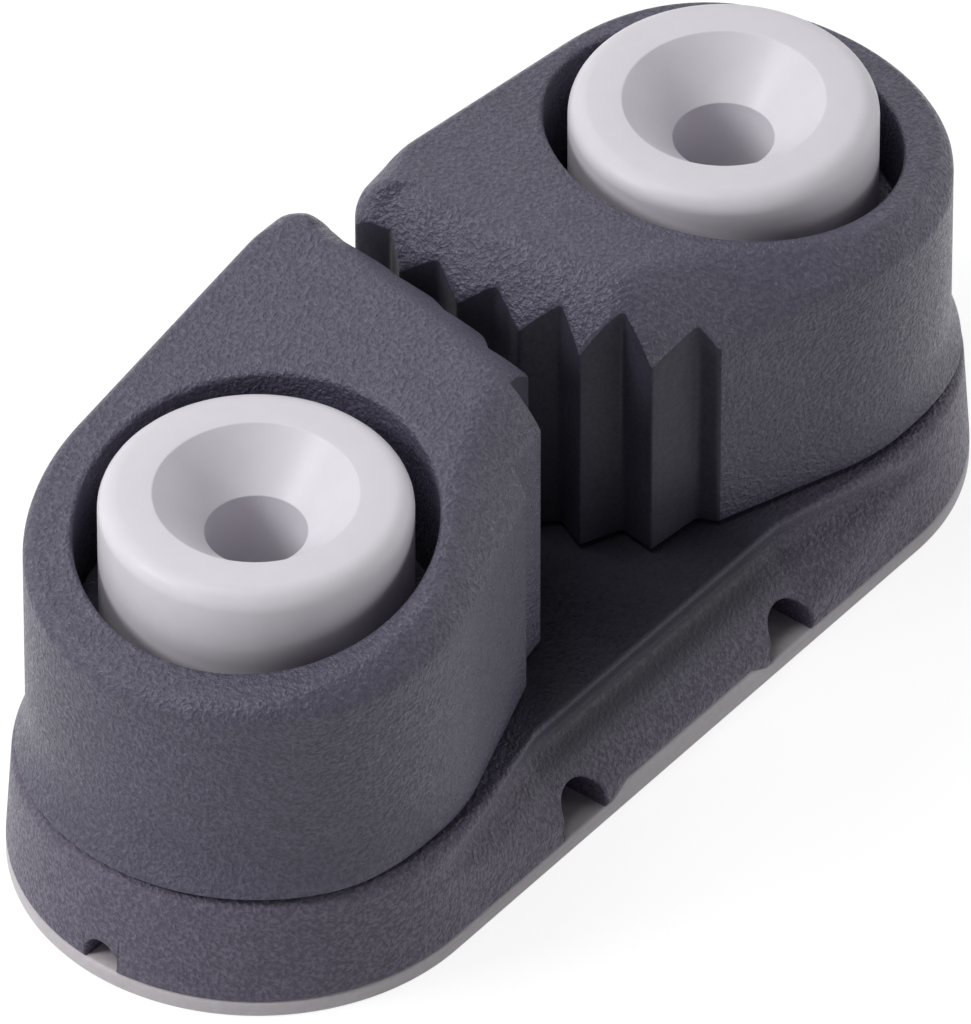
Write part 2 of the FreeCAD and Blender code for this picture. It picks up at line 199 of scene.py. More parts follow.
# The smooth nylon is darker than the grained: painted shade, for the shade in the jaws and the scoop.
PAINTED_SHADE_DARK = (0.036, 0.034, 0.048)
PAINTED_SHADE_LIGHT = (0.051, 0.048, 0.067)
GRAIN = 4200.0
DRIFT_SIZE = 5.0
NOISE_DETAIL = 2.0
NOISE_ROUGHNESS = 0.6
NOISE_SPAN = (0.3, 0.7)
POLISHED_BUMP = 0.25
ROPE_PATH_X = (0.0075, 0.013)
ROPE_PATH_Z = (0.003, 0.0046)


def new_material(name):
    material = bpy.data.materials.new(name)
    material.use_nodes = True
    tree = material.node_tree
    place = add_node(tree, "ShaderNodeTexCoord").outputs["Object"]
    return material, tree, tree.nodes["Principled BSDF"], place


def noise_field(tree, place, scale, detail):
    values = {"Vector": place, "Scale": scale, "Detail": detail, "Roughness": NOISE_ROUGHNESS}
    return add_node(tree, "ShaderNodeTexNoise", values).outputs["Fac"]


def spread(tree, value, low, high, span=NOISE_SPAN):
    """The value, stretched from the span that it covers to the one from low to high."""
    values = {"Value": value, "From Min": span[0], "From Max": span[1], "To Min": low, "To Max": high}
    return add_node(tree, "ShaderNodeMapRange", values).outputs["Result"]


def tint(tree, factor, first, second):
    """A tone between two colours, each plain or the output of another node."""
    mix = add_node(tree, "ShaderNodeMix")
    mix.data_type = "RGBA"
    feed(tree, mix, {"Factor": factor, "A": first, "B": second})
    return mix.outputs["Result"]


def rope_path_mask(tree, place):
    """One where the rope runs over the base, falling softly to zero beyond it: the mask of the painted
    shade and of the smoother grain there.
    """
    parts = add_node(tree, "ShaderNodeSeparateXYZ", {0: place})
    along = spread(tree, maths(tree, "ABSOLUTE", parts.outputs["X"]), 1.0, 0.0, ROPE_PATH_X)
    return maths(tree, "MULTIPLY", along, spread(tree, parts.outputs["Z"], 0.0, 1.0, ROPE_PATH_Z))


def moulded(name, dark, light, grain, roughness, grain_height, shine=0.5, cloud=0.15, speck=1.0,
            rope_path=False):
    """Moulded plastic: fine grain in colour, gloss and height over a slow drift of tone.

    A speck above one keeps most of the surface dark and leaves only the peaks of the grain light.
    With a rope path the tone falls to painted shade, that of the smooth nylon, where the rope runs,
    and the grain there is flatter."""
    material, tree, shader, place = new_material(name)
    fine = noise_field(tree, place, grain, NOISE_DETAIL)
    slow = noise_field(tree, place, grain / DRIFT_SIZE, NOISE_DETAIL)
    peaks = maths(tree, "POWER", spread(tree, fine, 0.0, 1.0), speck)
    both = maths(tree, "ADD", peaks, spread(tree, slow, -cloud, cloud))
    both.node.use_clamp = True
    tone = tint(tree, both, (*dark, 1), (*light, 1))
    strength = 1.0
    if rope_path:
        # Painted shade: where the rope runs, the tone falls to the dark smooth nylon, for the shade there.
        mask = rope_path_mask(tree, place)
        tone = tint(tree, mask, tone, (*PAINTED_SHADE_DARK, 1))
        strength = spread(tree, mask, 1.0, POLISHED_BUMP, (0.0, 1.0))
    bump = add_node(tree, "ShaderNodeBump", {"Strength": strength, "Distance": grain_height, "Height": fine})
    feed(tree, shader, {"Base Color": tone, "Roughness": spread(tree, fine, *roughness),
                        "Specular IOR Level": shine, "Normal": bump.outputs["Normal"]})
    return material


black_nylon = moulded("grained_black_nylon", NYLON_DARK, NYLON_LIGHT, GRAIN, (0.50, 0.20), 0.00017,
                      shine=0.3, cloud=0.08, speck=2.0)
# The base: a lighter black that is painted light, and painted shade where the rope runs.
base_nylon_painted_light_and_shade = moulded("base_nylon_with_painted_light_and_shade", BASE_DARK_PAINTED_LIGHTER, BASE_LIGHT_PAINTED_LIGHTER, GRAIN, (0.52, 0.24), 0.00015,
                     shine=0.18, cloud=0.08, speck=2.0, rope_path=True)
# Smooth nylon for the teeth in the jaws and the rope path; its dark tone is painted shade.
smooth_nylon_painted_shade = moulded("smooth_black_nylon_painted_shade", PAINTED_SHADE_DARK, PAINTED_SHADE_LIGHT, GRAIN, (0.42, 0.34), 0.00002,
                       shine=0.12)
grey_acetal = moulded("satin_grey_acetal", (0.69, 0.665, 0.715), (0.71, 0.685, 0.735), 700.0, (0.38, 0.42),
                      0.000002, shine=0.3)
plate_grey = moulded("plain_grey_plate", (0.50, 0.47, 0.495), (0.55, 0.52, 0.545), 2500.0, (0.42, 0.5),
                     0.000006, shine=0.3)
white_acetal = moulded("smooth_white_acetal", (0.74, 0.73, 0.69), (0.82, 0.81, 0.77), 1200.0, (0.3, 0.4),
                       0.000002)
print("finishes", [m.name for m in bpy.data.materials])

# %% [markdown]
# Drawn spring wire carries fine lines along its length from the die. The noise is stretched with a Mapping
# node so that the lines run round the coil, which lies flat: long in X and Y, short in Z.

# %% Spring wire finish
WIRE_TONE = (0.62, 0.62, 0.63, 1)
LINE_SCALE = (300.0, 300.0, 9000.0)
LINE_DETAIL = 4.0
LINE_HEIGHT = 0.000004


def drawn_wire(name):
    material, tree, shader, place = new_material(name)
    stretch = add_node(tree, "ShaderNodeMapping", {"Vector": place, "Scale": LINE_SCALE})
    lines = noise_field(tree, stretch.outputs["Vector"], 1.0, LINE_DETAIL)
    bump = add_node(tree, "ShaderNodeBump", {"Distance": LINE_HEIGHT, "Height": lines})
    feed(tree, shader, {"Base Color": WIRE_TONE, "Metallic": 1.0, "Normal": bump.outputs["Normal"],
                        "Roughness": spread(tree, lines, 0.22, 0.42)})
    return material


spring_steel = drawn_wire("drawn_spring_wire")

# %% [markdown]
# The floor is a white sheet. For the camera, and in glossy and clear surfaces, it is a glowing page with a
# thin grey coat, so that it reads as the white page of the picture and keeps the shadow of the cleat.

# %% Floor
FLOOR_HALF = 1.5
FLOOR_GLOW = 0.88
COAT_GREY = (0.2, 0.2, 0.2, 1)
SHEET_WHITE = (0.92, 0.92, 0.92, 1)
floor_mesh = bpy.data.meshes.new("floor")
floor_corners = [(x * FLOOR_HALF, y * FLOOR_HALF, 0) for x, y in ((-1, -1), (1, -1), (1, 1), (-1, 1))]
floor_mesh.from_pydata(floor_corners, [], [(0, 1, 2, 3)])
floor = add_object("floor", floor_mesh)
floor_material = bpy.data.materials.new("white_floor")
floor_material.use_nodes = True
page = floor_material.node_tree
page.nodes.clear()
sheet = add_node(page, "ShaderNodeBsdfDiffuse", {"Color": SHEET_WHITE})
coat = add_node(page, "ShaderNodeBsdfDiffuse", {"Color": COAT_GREY})
glow = add_node(page, "ShaderNodeEmission", {"Strength": FLOOR_GLOW})
seen_page = add_node(page, "ShaderNodeAddShader")
wire_up(page, ((coat, 0, seen_page, 0), (glow, 0, seen_page, 1)))
mix_by_ray(page, sheet, seen_page, add_node(page, "ShaderNodeOutputMaterial"))
floor_mesh.materials.append(floor_material)

# %% [markdown]
# The mouldings are built as stacks of closed loops: each loop has the same number of points, and each pair
# of neighbours is joined by quads. A loop can lie round the outside, over an edge, across a top or down a
# bore, so one stack follows the whole section and the mesh closes without a seam or a pole.
# The check after each piece counts the edges that don't have two faces and measures the volume, which is
# only positive when the faces point outwards.

# %% Mesh helpers
SHARP_ANGLE = math.radians(38)


def stack_faces(rows):
    """Quads between neighbouring rows of vertex numbers; each row is a closed loop."""
    faces = []
    for low, high in zip(rows, rows[1:]):
        faces += np.stack((low, np.roll(low, -1), np.roll(high, -1), high), axis=1).tolist()
    return faces


def keep_piece(name, mesh):
    mesh.shade_smooth()
    mesh.set_sharp_from_angle(angle=SHARP_ANGLE)
    check = bmesh.new()
    check.from_mesh(mesh)
    loose = sum(1 for edge in check.edges if len(edge.link_faces) != 2)
    volume = check.calc_volume(signed=True) / MM ** 3
    check.free()
    print("%-24s %6d faces, %d open edges, %.0f cubic mm" % (name, len(mesh.polygons), loose, volume))
    return add_object(name, mesh)


def finish_piece(name, points_mm, faces, material, second_material=None, second_faces=None):
    mesh = bpy.data.meshes.new(name)
    mesh.from_pydata((np.asarray(points_mm) * MM).tolist(), [], faces)
    mesh.materials.append(material)
    if second_material:
        mesh.materials.append(second_material)
        mesh.polygons.foreach_set("material_index", second_faces.astype(np.int32).ravel())
    return keep_piece(name, mesh)


def ease(x, rows):
    """Smooth steps between (x, value) rows, level outside them."""
    x = np.asarray(x, dtype=float)
    value = np.full_like(x, rows[0][1])
    for (x0, y0), (x1, y1) in zip(rows, rows[1:]):
        t = np.clip((x - x0) / (x1 - x0), 0.0, 1.0)
        t = t * t * (3.0 - 2.0 * t)
        value = np.where(x > x0, y0 + (y1 - y0) * t, value)
    return value


def quarter_round(steps):
    """Pairs that turn an edge over: the first shrinks from one to nought, the second grows to one."""
    turn = np.radians(np.linspace(0, 90, steps + 1))
    return list(zip(1 - np.sin(turn), 1 - np.cos(turn)))


def soft_maximum(a, b, softness):
    """The larger of two, blended where they are nearly the same."""
    return np.maximum(a, b) + np.maximum(softness - np.abs(a - b), 0) ** 2 / (4 * softness)


# %% [markdown]
# Each cam is a thick snail-shaped moulding. Seen from above its outline is an arc round the pivot, a
# straight side, a curved rope face and a small nose. The lengths are measured from the pivot: u towards
# the other cam and v along the rope. They are the numbers of the solid, but for the side away from the
# camera, which stands a quarter of a millimetre further out on the near cam and further in on the far one.

# %% Cam outline
HALF = 19.0
SIDES = (("left", -1.0), ("right", 1.0))
CAM_BOTTOM_Z = 7.55
CAM_R = 11.75
CAM_FLARE = 0.6
CAM_FLARE_Z = 9.9
BEARING_BORE_R = 8.3
COUNTERBORE_R = 9.2
COUNTERBORE_Z = 15.2
TOP_Z_AT_PIVOT = {"left": 22.0, "right": 21.8}
TOP_RISE_U = {"left": 0.197, "right": 0.159}
TOP_RISE_V = 0.046
SIDE_V = {"left": 11.55, "right": 10.6}
FACE_DROP = {"left": 3.1, "right": 3.7}
BACK_DROP = 0.55
SIDE_ANGLE = 20.0
FACE_R = 47.0
FACE_U = 18.25
FACE_V = 7.0
TURN_R = 4.0
NOSE_R = 2.2


def cam_outline(cam_side, detail):
    """Points (u, v) of the smooth outline, anticlockwise from the back of the cam."""
    side_a = math.radians(SIDE_ANGLE - 90.0)
    nu, nv = math.cos(side_a), math.sin(side_a)
    cu, cv = FACE_U - FACE_R, FACE_V
    d = CAM_R - TURN_R
    pu, pv = d * nu - cu, d * nv - cv
    half_b = -pu * nv + pv * nu
    s = -half_b + math.sqrt(half_b ** 2 - (pu ** 2 + pv ** 2 - (FACE_R - TURN_R) ** 2))
    tu, tv = d * nu - s * nv, d * nv + s * nu
    face_start = math.atan2(tv - cv, tu - cu)
    side_v = SIDE_V[cam_side]
    nose_v = side_v - NOSE_R
    nose_u = cu + math.sqrt((FACE_R - NOSE_R) ** 2 - (nose_v - cv) ** 2)
    face_end = math.atan2(nose_v - cv, nose_u - cu)
    points = []

    def arc(au, av, r, a0, a1, count):
        for a in np.linspace(a0, a1, int(count * detail), endpoint=False):
            points.append((au + r * math.cos(a), av + r * math.sin(a)))

    def line(u0, v0, u1, v1, count):
        for t in np.linspace(0, 1, int(count * detail), endpoint=False):
            points.append((u0 + (u1 - u0) * t, v0 + (v1 - v0) * t))

    arc(0, 0, CAM_R, -math.pi, side_a, 22)
    line(CAM_R * nu, CAM_R * nv, tu + TURN_R * nu, tv + TURN_R * nv, 9)
    arc(tu, tv, TURN_R, side_a, face_start, 6)
    arc(cu, cv, FACE_R, face_start, face_end, 13)
    arc(nose_u, nose_v, NOSE_R, face_end, math.pi / 2, 8)
    line(nose_u, side_v, 0.0, side_v, 13)
    for a in np.linspace(90.0, 180.0, int(18 * detail), endpoint=False):
        r = float(ease(a, ((90.0, side_v), (150.0, CAM_R))))
        points.append((r * math.cos(math.radians(a)), r * math.sin(math.radians(a))))
    return np.array(points)


# %% [markdown]
# The rope face carries six uneven saw teeth, which run straight up the cam. Their tips lie on the smooth
# outline, but for the sixth of the near cam, which stands a little inside it, and each groove has its own
# depth and lean. A moulded tooth has no knife edge, so every tip and root is replaced by a small curve. For
# each toothed point the helper also gives its partner on the smooth outline, because the top of the cam
# fades from the toothed edge to the smooth form behind it. It says as well which points carry the smooth
# nylon, whose dark tone is painted shade for the shade in the jaws: all the teeth of the far cam, and all
# but the last of the near one, which keeps its grain.

# %% Teeth
FIRST_TIPS = ((17.98, 10.2), (18.25, 6.6), (18.07, 2.95), (17.63, -0.6), (16.95, -4.0))
SIXTH_TIP = {"left": (14.3, -6.9), "right": (14.95, -7.08)}
LAST_TIP = (11.34, -8.37)
GROOVE_DEPTHS = (0.7, 0.85, 0.95, 1.25, 1.35, 0.8)
GROOVE_PLACES = (0.60, 0.50, 0.48, 0.52, 0.57, 0.81)
TIP_SOFTNESS = 0.16
ROOT_SOFTNESS = 0.22
CORNER_STEPS = 5
FLANK_STEPS = 6
TOOTH_POINTS = 2 * (CORNER_STEPS + FLANK_STEPS - 1)
GRAINED_TEETH = {"left": 1, "right": 0}
COLUMN_DETAIL = 2.6
EDGE_DETAIL = 8.0


def soft_corner(before, corner, after, softness):
    """Points of a small curve that replaces a sharp corner."""
    a = before - corner
    b = after - corner
    a = a / np.linalg.norm(a) * min(softness, 0.4 * np.linalg.norm(a))
    b = b / np.linalg.norm(b) * min(softness, 0.4 * np.linalg.norm(b))
    t = np.linspace(0, 1, CORNER_STEPS)[:, None]
    return corner + a * (1 - t) ** 2 + b * t ** 2


def nearest_to(points, spot):
    return int(np.argmin(np.hypot(*(points - spot).T)))


def run_along(points):
    """Running length from the first point to each point."""
    return np.concatenate(([0.0], np.cumsum(np.hypot(*np.diff(points, axis=0).T))))


def toothed_outline(cam_side):
    """The toothed outline, the smooth one behind it point for point, and the span of the smooth nylon,
    whose dark tone is painted shade.
    """
    smooth = cam_outline(cam_side, COLUMN_DETAIL)
    tips = np.array((LAST_TIP, SIXTH_TIP[cam_side]) + FIRST_TIPS[::-1])
    first, last = nearest_to(smooth, tips[0]), nearest_to(smooth, tips[-1])
    tips[0], tips[-1] = smooth[first], smooth[last]
    corners = [smooth[first - 1]]
    softness = [0.0]
    for low, high, depth, groove in zip(tips, tips[1:], GROOVE_DEPTHS[::-1], GROOVE_PLACES[::-1]):
        along = high - low
        inward = np.array((-along[1], along[0])) / np.linalg.norm(along)
        corners += [low, low + along * (1.0 - groove) + inward * depth]
        softness += [TIP_SOFTNESS, ROOT_SOFTNESS]
    corners += [tips[-1], smooth[last + 1]]
    softness += [TIP_SOFTNESS, 0.0]
    path = []
    for before, corner, after, soft in zip(corners, corners[1:], corners[2:], softness[1:]):
        bend = soft_corner(before, corner, after, soft)
        if path:
            path.extend(np.linspace(path[-1], bend[0], FLANK_STEPS + 1)[1:-1])
        path.extend(bend)
    path = np.array(path)
    run = run_along(path)
    fine = cam_outline(cam_side, EDGE_DETAIL)
    stretch = fine[nearest_to(fine, tips[0]):nearest_to(fine, tips[-1]) + 1]
    fine_run = run_along(stretch)
    at = run / run[-1] * fine_run[-1]
    partner = np.stack([np.interp(at, fine_run, column) for column in stretch.T], axis=1)
    toothed = np.concatenate((smooth[:first], path, smooth[last + 1:]))
    behind = np.concatenate((smooth[:first], partner, smooth[last + 1:]))
    return toothed, behind, (first + GRAINED_TEETH[cam_side] * TOOTH_POINTS, first + len(path) - 1)


# %% [markdown]
# The crown is a tilted plane that falls away at the rim. Round the back the fall is a small rounding, along
# the camera's side a shoulder of about a millimetre and a half, and along the rope face a broad one, three
# or more millimetres deep. The height is therefore a function of the place on the cam: the plane, less a
# fall that depends on the distance from the outline. A soft maximum blends the two, because the real crown
# has no hard line there. The rows give the fall and the breadth by the angle round the pivot.

# %% Crown height
SLOPE_AT_RIM = math.radians(58.0)
SLOPE_AT_TOP = math.radians(36.0)
CREASE_SOFTNESS = 0.14
SIDE_DROPS = ((-142, BACK_DROP), (-108, 1.3), (-90, 1.5), (-71, 1.9))
SIDE_WIDTHS = ((-142, BACK_DROP), (-108, 1.25), (-90, 1.4), (-71, 1.9))
FACE_WIDTHS = ((-37, 3.0), (10, 3.0), (24, 2.5), (33, 1.6), (40, BACK_DROP))


def edge_table(cam_side):
    edge = cam_outline(cam_side, EDGE_DETAIL)
    angle = np.degrees(np.arctan2(edge[:, 1], edge[:, 0]))
    face = FACE_DROP[cam_side]
    drop = ease(angle, SIDE_DROPS + ((-37, face), (22, face), (41, BACK_DROP)))
    return edge, ease(angle, SIDE_WIDTHS + FACE_WIDTHS), drop


def distance_to_edge(points, edge):
    """Distance from each point to the closed outline, and the number of the nearest outline point."""
    gap = points[:, None, :] - edge[None, :, :]
    nearest = np.argmin((gap ** 2).sum(axis=2), axis=1)
    best = np.full(len(points), np.inf)
    for step in (-1, 0):
        start = edge[(nearest + step) % len(edge)]
        side = edge[(nearest + step + 1) % len(edge)] - start
        t = ((points - start) * side).sum(axis=1) / (side ** 2).sum(axis=1)
        foot = start + side * np.clip(t, 0, 1)[:, None]
        best = np.minimum(best, np.hypot(*(points - foot).T))
    return best, nearest


def crown_height(cam_side, points, table):
    edge, width, drop = table
    distance, nearest = distance_to_edge(points, edge)
    width, drop = width[nearest], drop[nearest]
    reach = distance / width
    sin_rim, sin_top = math.sin(SLOPE_AT_RIM), math.sin(SLOPE_AT_TOP)
    cos_rim, cos_top = math.cos(SLOPE_AT_RIM), math.cos(SLOPE_AT_TOP)
    sine = sin_rim - np.clip(reach, 0, 1) * (sin_rim - sin_top)
    fall = drop * (cos_top - np.sqrt(1 - sine ** 2)) / (cos_top - cos_rim)
    fall = fall - np.maximum(reach - 1, 0) * drop * math.tan(SLOPE_AT_TOP)
    plane = TOP_Z_AT_PIVOT[cam_side] + TOP_RISE_U[cam_side] * points[:, 0] + TOP_RISE_V * points[:, 1]
    return plane - soft_maximum(fall, 0, CREASE_SOFTNESS * drop)


# %% [markdown]
# Now the stack of loops for one cam: over the foot edge, up the wall with its small flare at the back, over
# the rim, across the crown to the counterbore, down it, over its floor, down the bearing bore and back
# along the underside to the foot. The far cam is the mirror image in plan with its own crown, so its
# loops are turned round to keep the faces outwards.

# %% Build a cam
FOOT_EDGE = 0.16
RIM_EDGE = 0.22
BORE_EDGE = 0.28
CROWN_ROWS = 30
CROWN_CROWDING = 1.3
TOOTH_FADE = 0.35
RIM_ROWS = 3
FLARE_ROWS = ((90.0, 0.0), (125.0, CAM_FLARE))
FLARE_POWER = 1.4
WALL_Z = (8.1, 8.5, 8.9, 9.3, 9.7, 10.1, 11.5, 13.0, 15.0, 17.0)
LEDGE_RADII = (8.9, 8.6, BEARING_BORE_R)
BORE_Z = (13.3, 11.4, 9.4, CAM_BOTTOM_Z)


def outward_normals(loop):
    along = np.roll(loop, -1, axis=0) - np.roll(loop, 1, axis=0)
    along /= np.linalg.norm(along, axis=1)[:, None]
    return np.stack((along[:, 1], -along[:, 0]), axis=1)


def build_cam(cam_side, sign):
    toothed, behind, teeth = toothed_outline(cam_side)
    table = edge_table(cam_side)
    normal = outward_normals(toothed)
    count = len(toothed)
    angle = np.arctan2(behind[:, 1], behind[:, 0])
    flare = ease(np.abs(np.degrees(angle)), FLARE_ROWS)
    rows = []

    def row(plan, z):
        rows.append(np.column_stack((plan, np.broadcast_to(z, (count,)))))

    def wall(z, out=0.0):
        rise = np.clip((z - CAM_BOTTOM_Z) / (CAM_FLARE_Z - CAM_BOTTOM_Z), 0.0, 1.0)
        shift = flare * (1.0 - rise) ** FLARE_POWER + out
        row(toothed + normal * shift[:, None], z)

    def circle(radius):
        return np.stack((radius * np.cos(angle), radius * np.sin(angle)), axis=1)

    for shrink, grow in quarter_round(4):
        wall(CAM_BOTTOM_Z + FOOT_EDGE * grow, -FOOT_EDGE * shrink)
    for z in WALL_Z:
        wall(z)
    wall_rows = len(rows)
    rim = crown_height(cam_side, toothed, table)
    for part in (0.35, 0.7):
        wall(WALL_Z[-1] + (rim - RIM_EDGE - WALL_Z[-1]) * part)
    for shrink, grow in quarter_round(5)[:-1]:
        plan = toothed - normal * RIM_EDGE * grow
        row(plan, crown_height(cam_side, plan, table) - RIM_EDGE * shrink)
    target = circle(COUNTERBORE_R + BORE_EDGE)
    start = toothed - normal * RIM_EDGE
    smooth_start = behind - outward_normals(behind) * RIM_EDGE
    for i in range(CROWN_ROWS + 1):
        t = (i / CROWN_ROWS) ** CROWN_CROWDING
        fade = max(0.0, 1.0 - t / TOOTH_FADE)
        plan = smooth_start + (target - smooth_start) * t + (start - smooth_start) * fade
        row(plan, crown_height(cam_side, plan, table))
    for shrink, grow in quarter_round(4)[1:]:
        plan = circle(COUNTERBORE_R + BORE_EDGE * shrink)
        row(plan, crown_height(cam_side, plan, table) - BORE_EDGE * grow)
    mouth = rows[-1][:, 2]
    for part in (0.25, 0.5, 0.75, 1.0):
        row(circle(COUNTERBORE_R), mouth + (COUNTERBORE_Z - mouth) * part)
    for radius in LEDGE_RADII:
        row(circle(radius), COUNTERBORE_Z)
    for z in BORE_Z:
        row(circle(BEARING_BORE_R), z)
    for part in (0.3, 0.65):
        inner = circle(BEARING_BORE_R)
        row(inner + (rows[0][:, :2] - inner) * part, CAM_BOTTOM_Z)
    points = np.array(rows)
    if sign > 0:
        points = points[:, ::-1]
    points[:, :, 0] = sign * (HALF - points[:, :, 0])
    numbers = np.arange(len(rows) * count).reshape(len(rows), count)
    faces = stack_faces(list(numbers) + [numbers[0]])
    # The teeth in the jaws get the smooth nylon, whose dark tone is painted shade.
    shaded_teeth_faces = np.zeros((len(rows), count), dtype=bool)
    shaded_teeth_faces[:wall_rows + RIM_ROWS, teeth[0]:teeth[1]] = True
    if sign > 0:
        shaded_teeth_faces = np.roll(shaded_teeth_faces[:, ::-1], -1, axis=1)
    name = cam_side + "_cam_moulding"
    piece = finish_piece(name, points.reshape(-1, 3), faces, black_nylon, smooth_nylon_painted_shade, shaded_teeth_faces)
    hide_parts(cam_side + "_cam")
    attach(piece, cam_side + "_jaw")


for side_name, side_sign in SIDES:
    build_cam(side_name, side_sign)

# %% [markdown]
# The base is an oblong moulding with round ends. Its flank leans in a little and is scooped out between the
# cams, where the rope comes over the edge. The lower edge rises in the middle over the lip of the grey
# plate and arches over six drains. A running length q goes along one quarter of the edge, from the middle
# of the long side to the tip of the end, and the other three quarters mirror it.
# The lower edge is one line of points through every arch, and the flank fans out from it to the even
# spacing of the deck edge, so an arch needs no cut and gets its own rounded lip.

# %% Base outline
PLATE_T = 1.0
BASE_R = 12.8
DECK_Z = 7.3
FLANK_DRAFT = 0.4
COVE_FULL_X = 10.0
COVE_END_X = 17.0
COVE_RUN_OUT = 1.8
COVE_CENTRE_DEPTH = -2.986
COVE_CENTRE_Z = 6.48
COVE_R = 5.053
COVE_SOFTNESS = 0.5
HOLLOW_DEPTH = 0.68
HOLLOW_FOOT_Z = 3.9
HOLLOW_Z = 5.45
LIP_H = 0.6
LIP_FOOT_X = 6.4
LIP_TOP_X = 5.2
LIP_DEPTH = 1.1
DRAIN_X = 8.5
DRAIN_W = 3.3
DRAIN_H = 2.4
DRAIN_DEPTH = 4.6
END_DRAIN_W = 2.0
END_DRAIN_H = 1.5
END_DRAIN_DEPTH = 1.5
QUARTER = HALF + math.pi / 2 * BASE_R
SPREAD_END = 10.9


def arch(centre, width, height, legs, steps, whole=True):
    """Lower edge over an arched drain as (q, z) points."""
    r = width / 2
    spring_z = PLATE_T + height - r
    points = [(centre - r, z) for z in np.linspace(PLATE_T, spring_z, legs, endpoint=False)]
    sweep = math.pi if whole else math.pi / 2
    for a in np.linspace(math.pi, math.pi - sweep, steps + 1):
        points.append((centre + r * math.cos(a), spring_z + r * math.sin(a)))
    if whole:
        points += [(centre + r, z) for z in np.linspace(spring_z, PLATE_T, legs + 1)[1:]]
    return points


def quarter_edge():
    """Lower edge of the base body from the middle of the long side to the tip of the end."""
    lip_z = PLATE_T + LIP_H
    edge = [(q, lip_z) for q in np.linspace(0, LIP_TOP_X, 14)]
    edge += [(LIP_TOP_X + (LIP_FOOT_X - LIP_TOP_X) * t, lip_z - LIP_H * t) for t in (0.25, 0.5, 0.75, 1.0)]
    spread_first = len(edge) - 1
    edge += arch(DRAIN_X, DRAIN_W, DRAIN_H, 3, 18)
    edge.append((SPREAD_END, PLATE_T))
    spread_last = len(edge) - 1
    end_start = QUARTER - END_DRAIN_W / 2
    edge += [(q, PLATE_T) for q in np.linspace(SPREAD_END, end_start, 66)[1:-1]]
    end_first = len(edge) - 1
    edge += arch(QUARTER, END_DRAIN_W, END_DRAIN_H, 3, 8, whole=False)
    edge = np.array(edge)
    top_q = edge[:, 0].copy()
    top_q[spread_first:spread_last + 1] = np.linspace(edge[spread_first, 0], SPREAD_END,
                                                      spread_last - spread_first + 1)
    top_q[end_first:] = np.linspace(edge[end_first, 0], QUARTER, len(edge) - end_first)
    inside = np.full(len(edge), LIP_DEPTH)
    near_drain = np.abs(edge[:, 0] - DRAIN_X) <= DRAIN_W / 2 + 1e-6
    inside[near_drain] = DRAIN_DEPTH
    inside[edge[:, 0] >= end_start - 1e-6] = END_DRAIN_DEPTH
    return edge, top_q, inside


edge_line, deck_q, recess = quarter_edge()
print("lower edge of a quarter:", len(edge_line), "points")

# %% [markdown]
# How far the flank stands in from the upright outline is again a function: the lean of the moulding, or the
# scoop where that is deeper, with a soft maximum between them. The scoop is a circular arc in section, a
# little hollowed under the deck edge, and runs out towards the ends of the cleat.

# %% Flank shape


def place_on_oblong(q, inset, z):
    """Point for a running length q along the first quarter, standing in from the outline by the inset."""
    q, inset, z = np.broadcast_arrays(q, inset, z)
    turn = np.maximum(q - HALF, 0.0) / BASE_R
    x = np.minimum(q, HALF) + (BASE_R - inset) * np.sin(turn)
    y = -(BASE_R - inset) * np.cos(turn)
    return np.stack((x, y, z), axis=-1)


def flank_inset(q, z):
    lean = FLANK_DRAFT * (z - PLATE_T) / (DECK_Z - PLATE_T)
    inside = np.maximum(COVE_R ** 2 - (z - COVE_CENTRE_Z) ** 2, 0.0)
    hollow = ease(z, ((HOLLOW_FOOT_Z, 0.0), (HOLLOW_Z, HOLLOW_DEPTH), (DECK_Z, 0.0)))
    run_out = COVE_RUN_OUT * np.maximum(q - COVE_FULL_X, 0.0) / (COVE_END_X - COVE_FULL_X)
    scoop = COVE_CENTRE_DEPTH + np.sqrt(inside) + hollow - run_out
    return soft_maximum(lean, scoop, COVE_SOFTNESS)


def all_round(quarter):
    """Mirror a quarter of a loop to the whole loop, anticlockwise from above."""
    return np.concatenate((quarter, quarter[-2::-1] * (1, -1, 1), quarter[1:] * (-1, -1, 1),
                           quarter[-2:0:-1] * (-1, 1, 1)))


# %% [markdown]
# Both the base body and the plate have a hole at each pivot. Their outer loops are shared by two halves that
# meet on a line across the middle, and each half narrows in its own loops to its own hole. The helper takes
# the running length, inset and height of each outer loop, from the lower inner one round to the upper inner
# one, and the radius and height of the circles that lead round each pivot from the top to the bottom.

# %% Two-holed oblong solid
MIDDLE_STEPS = 24


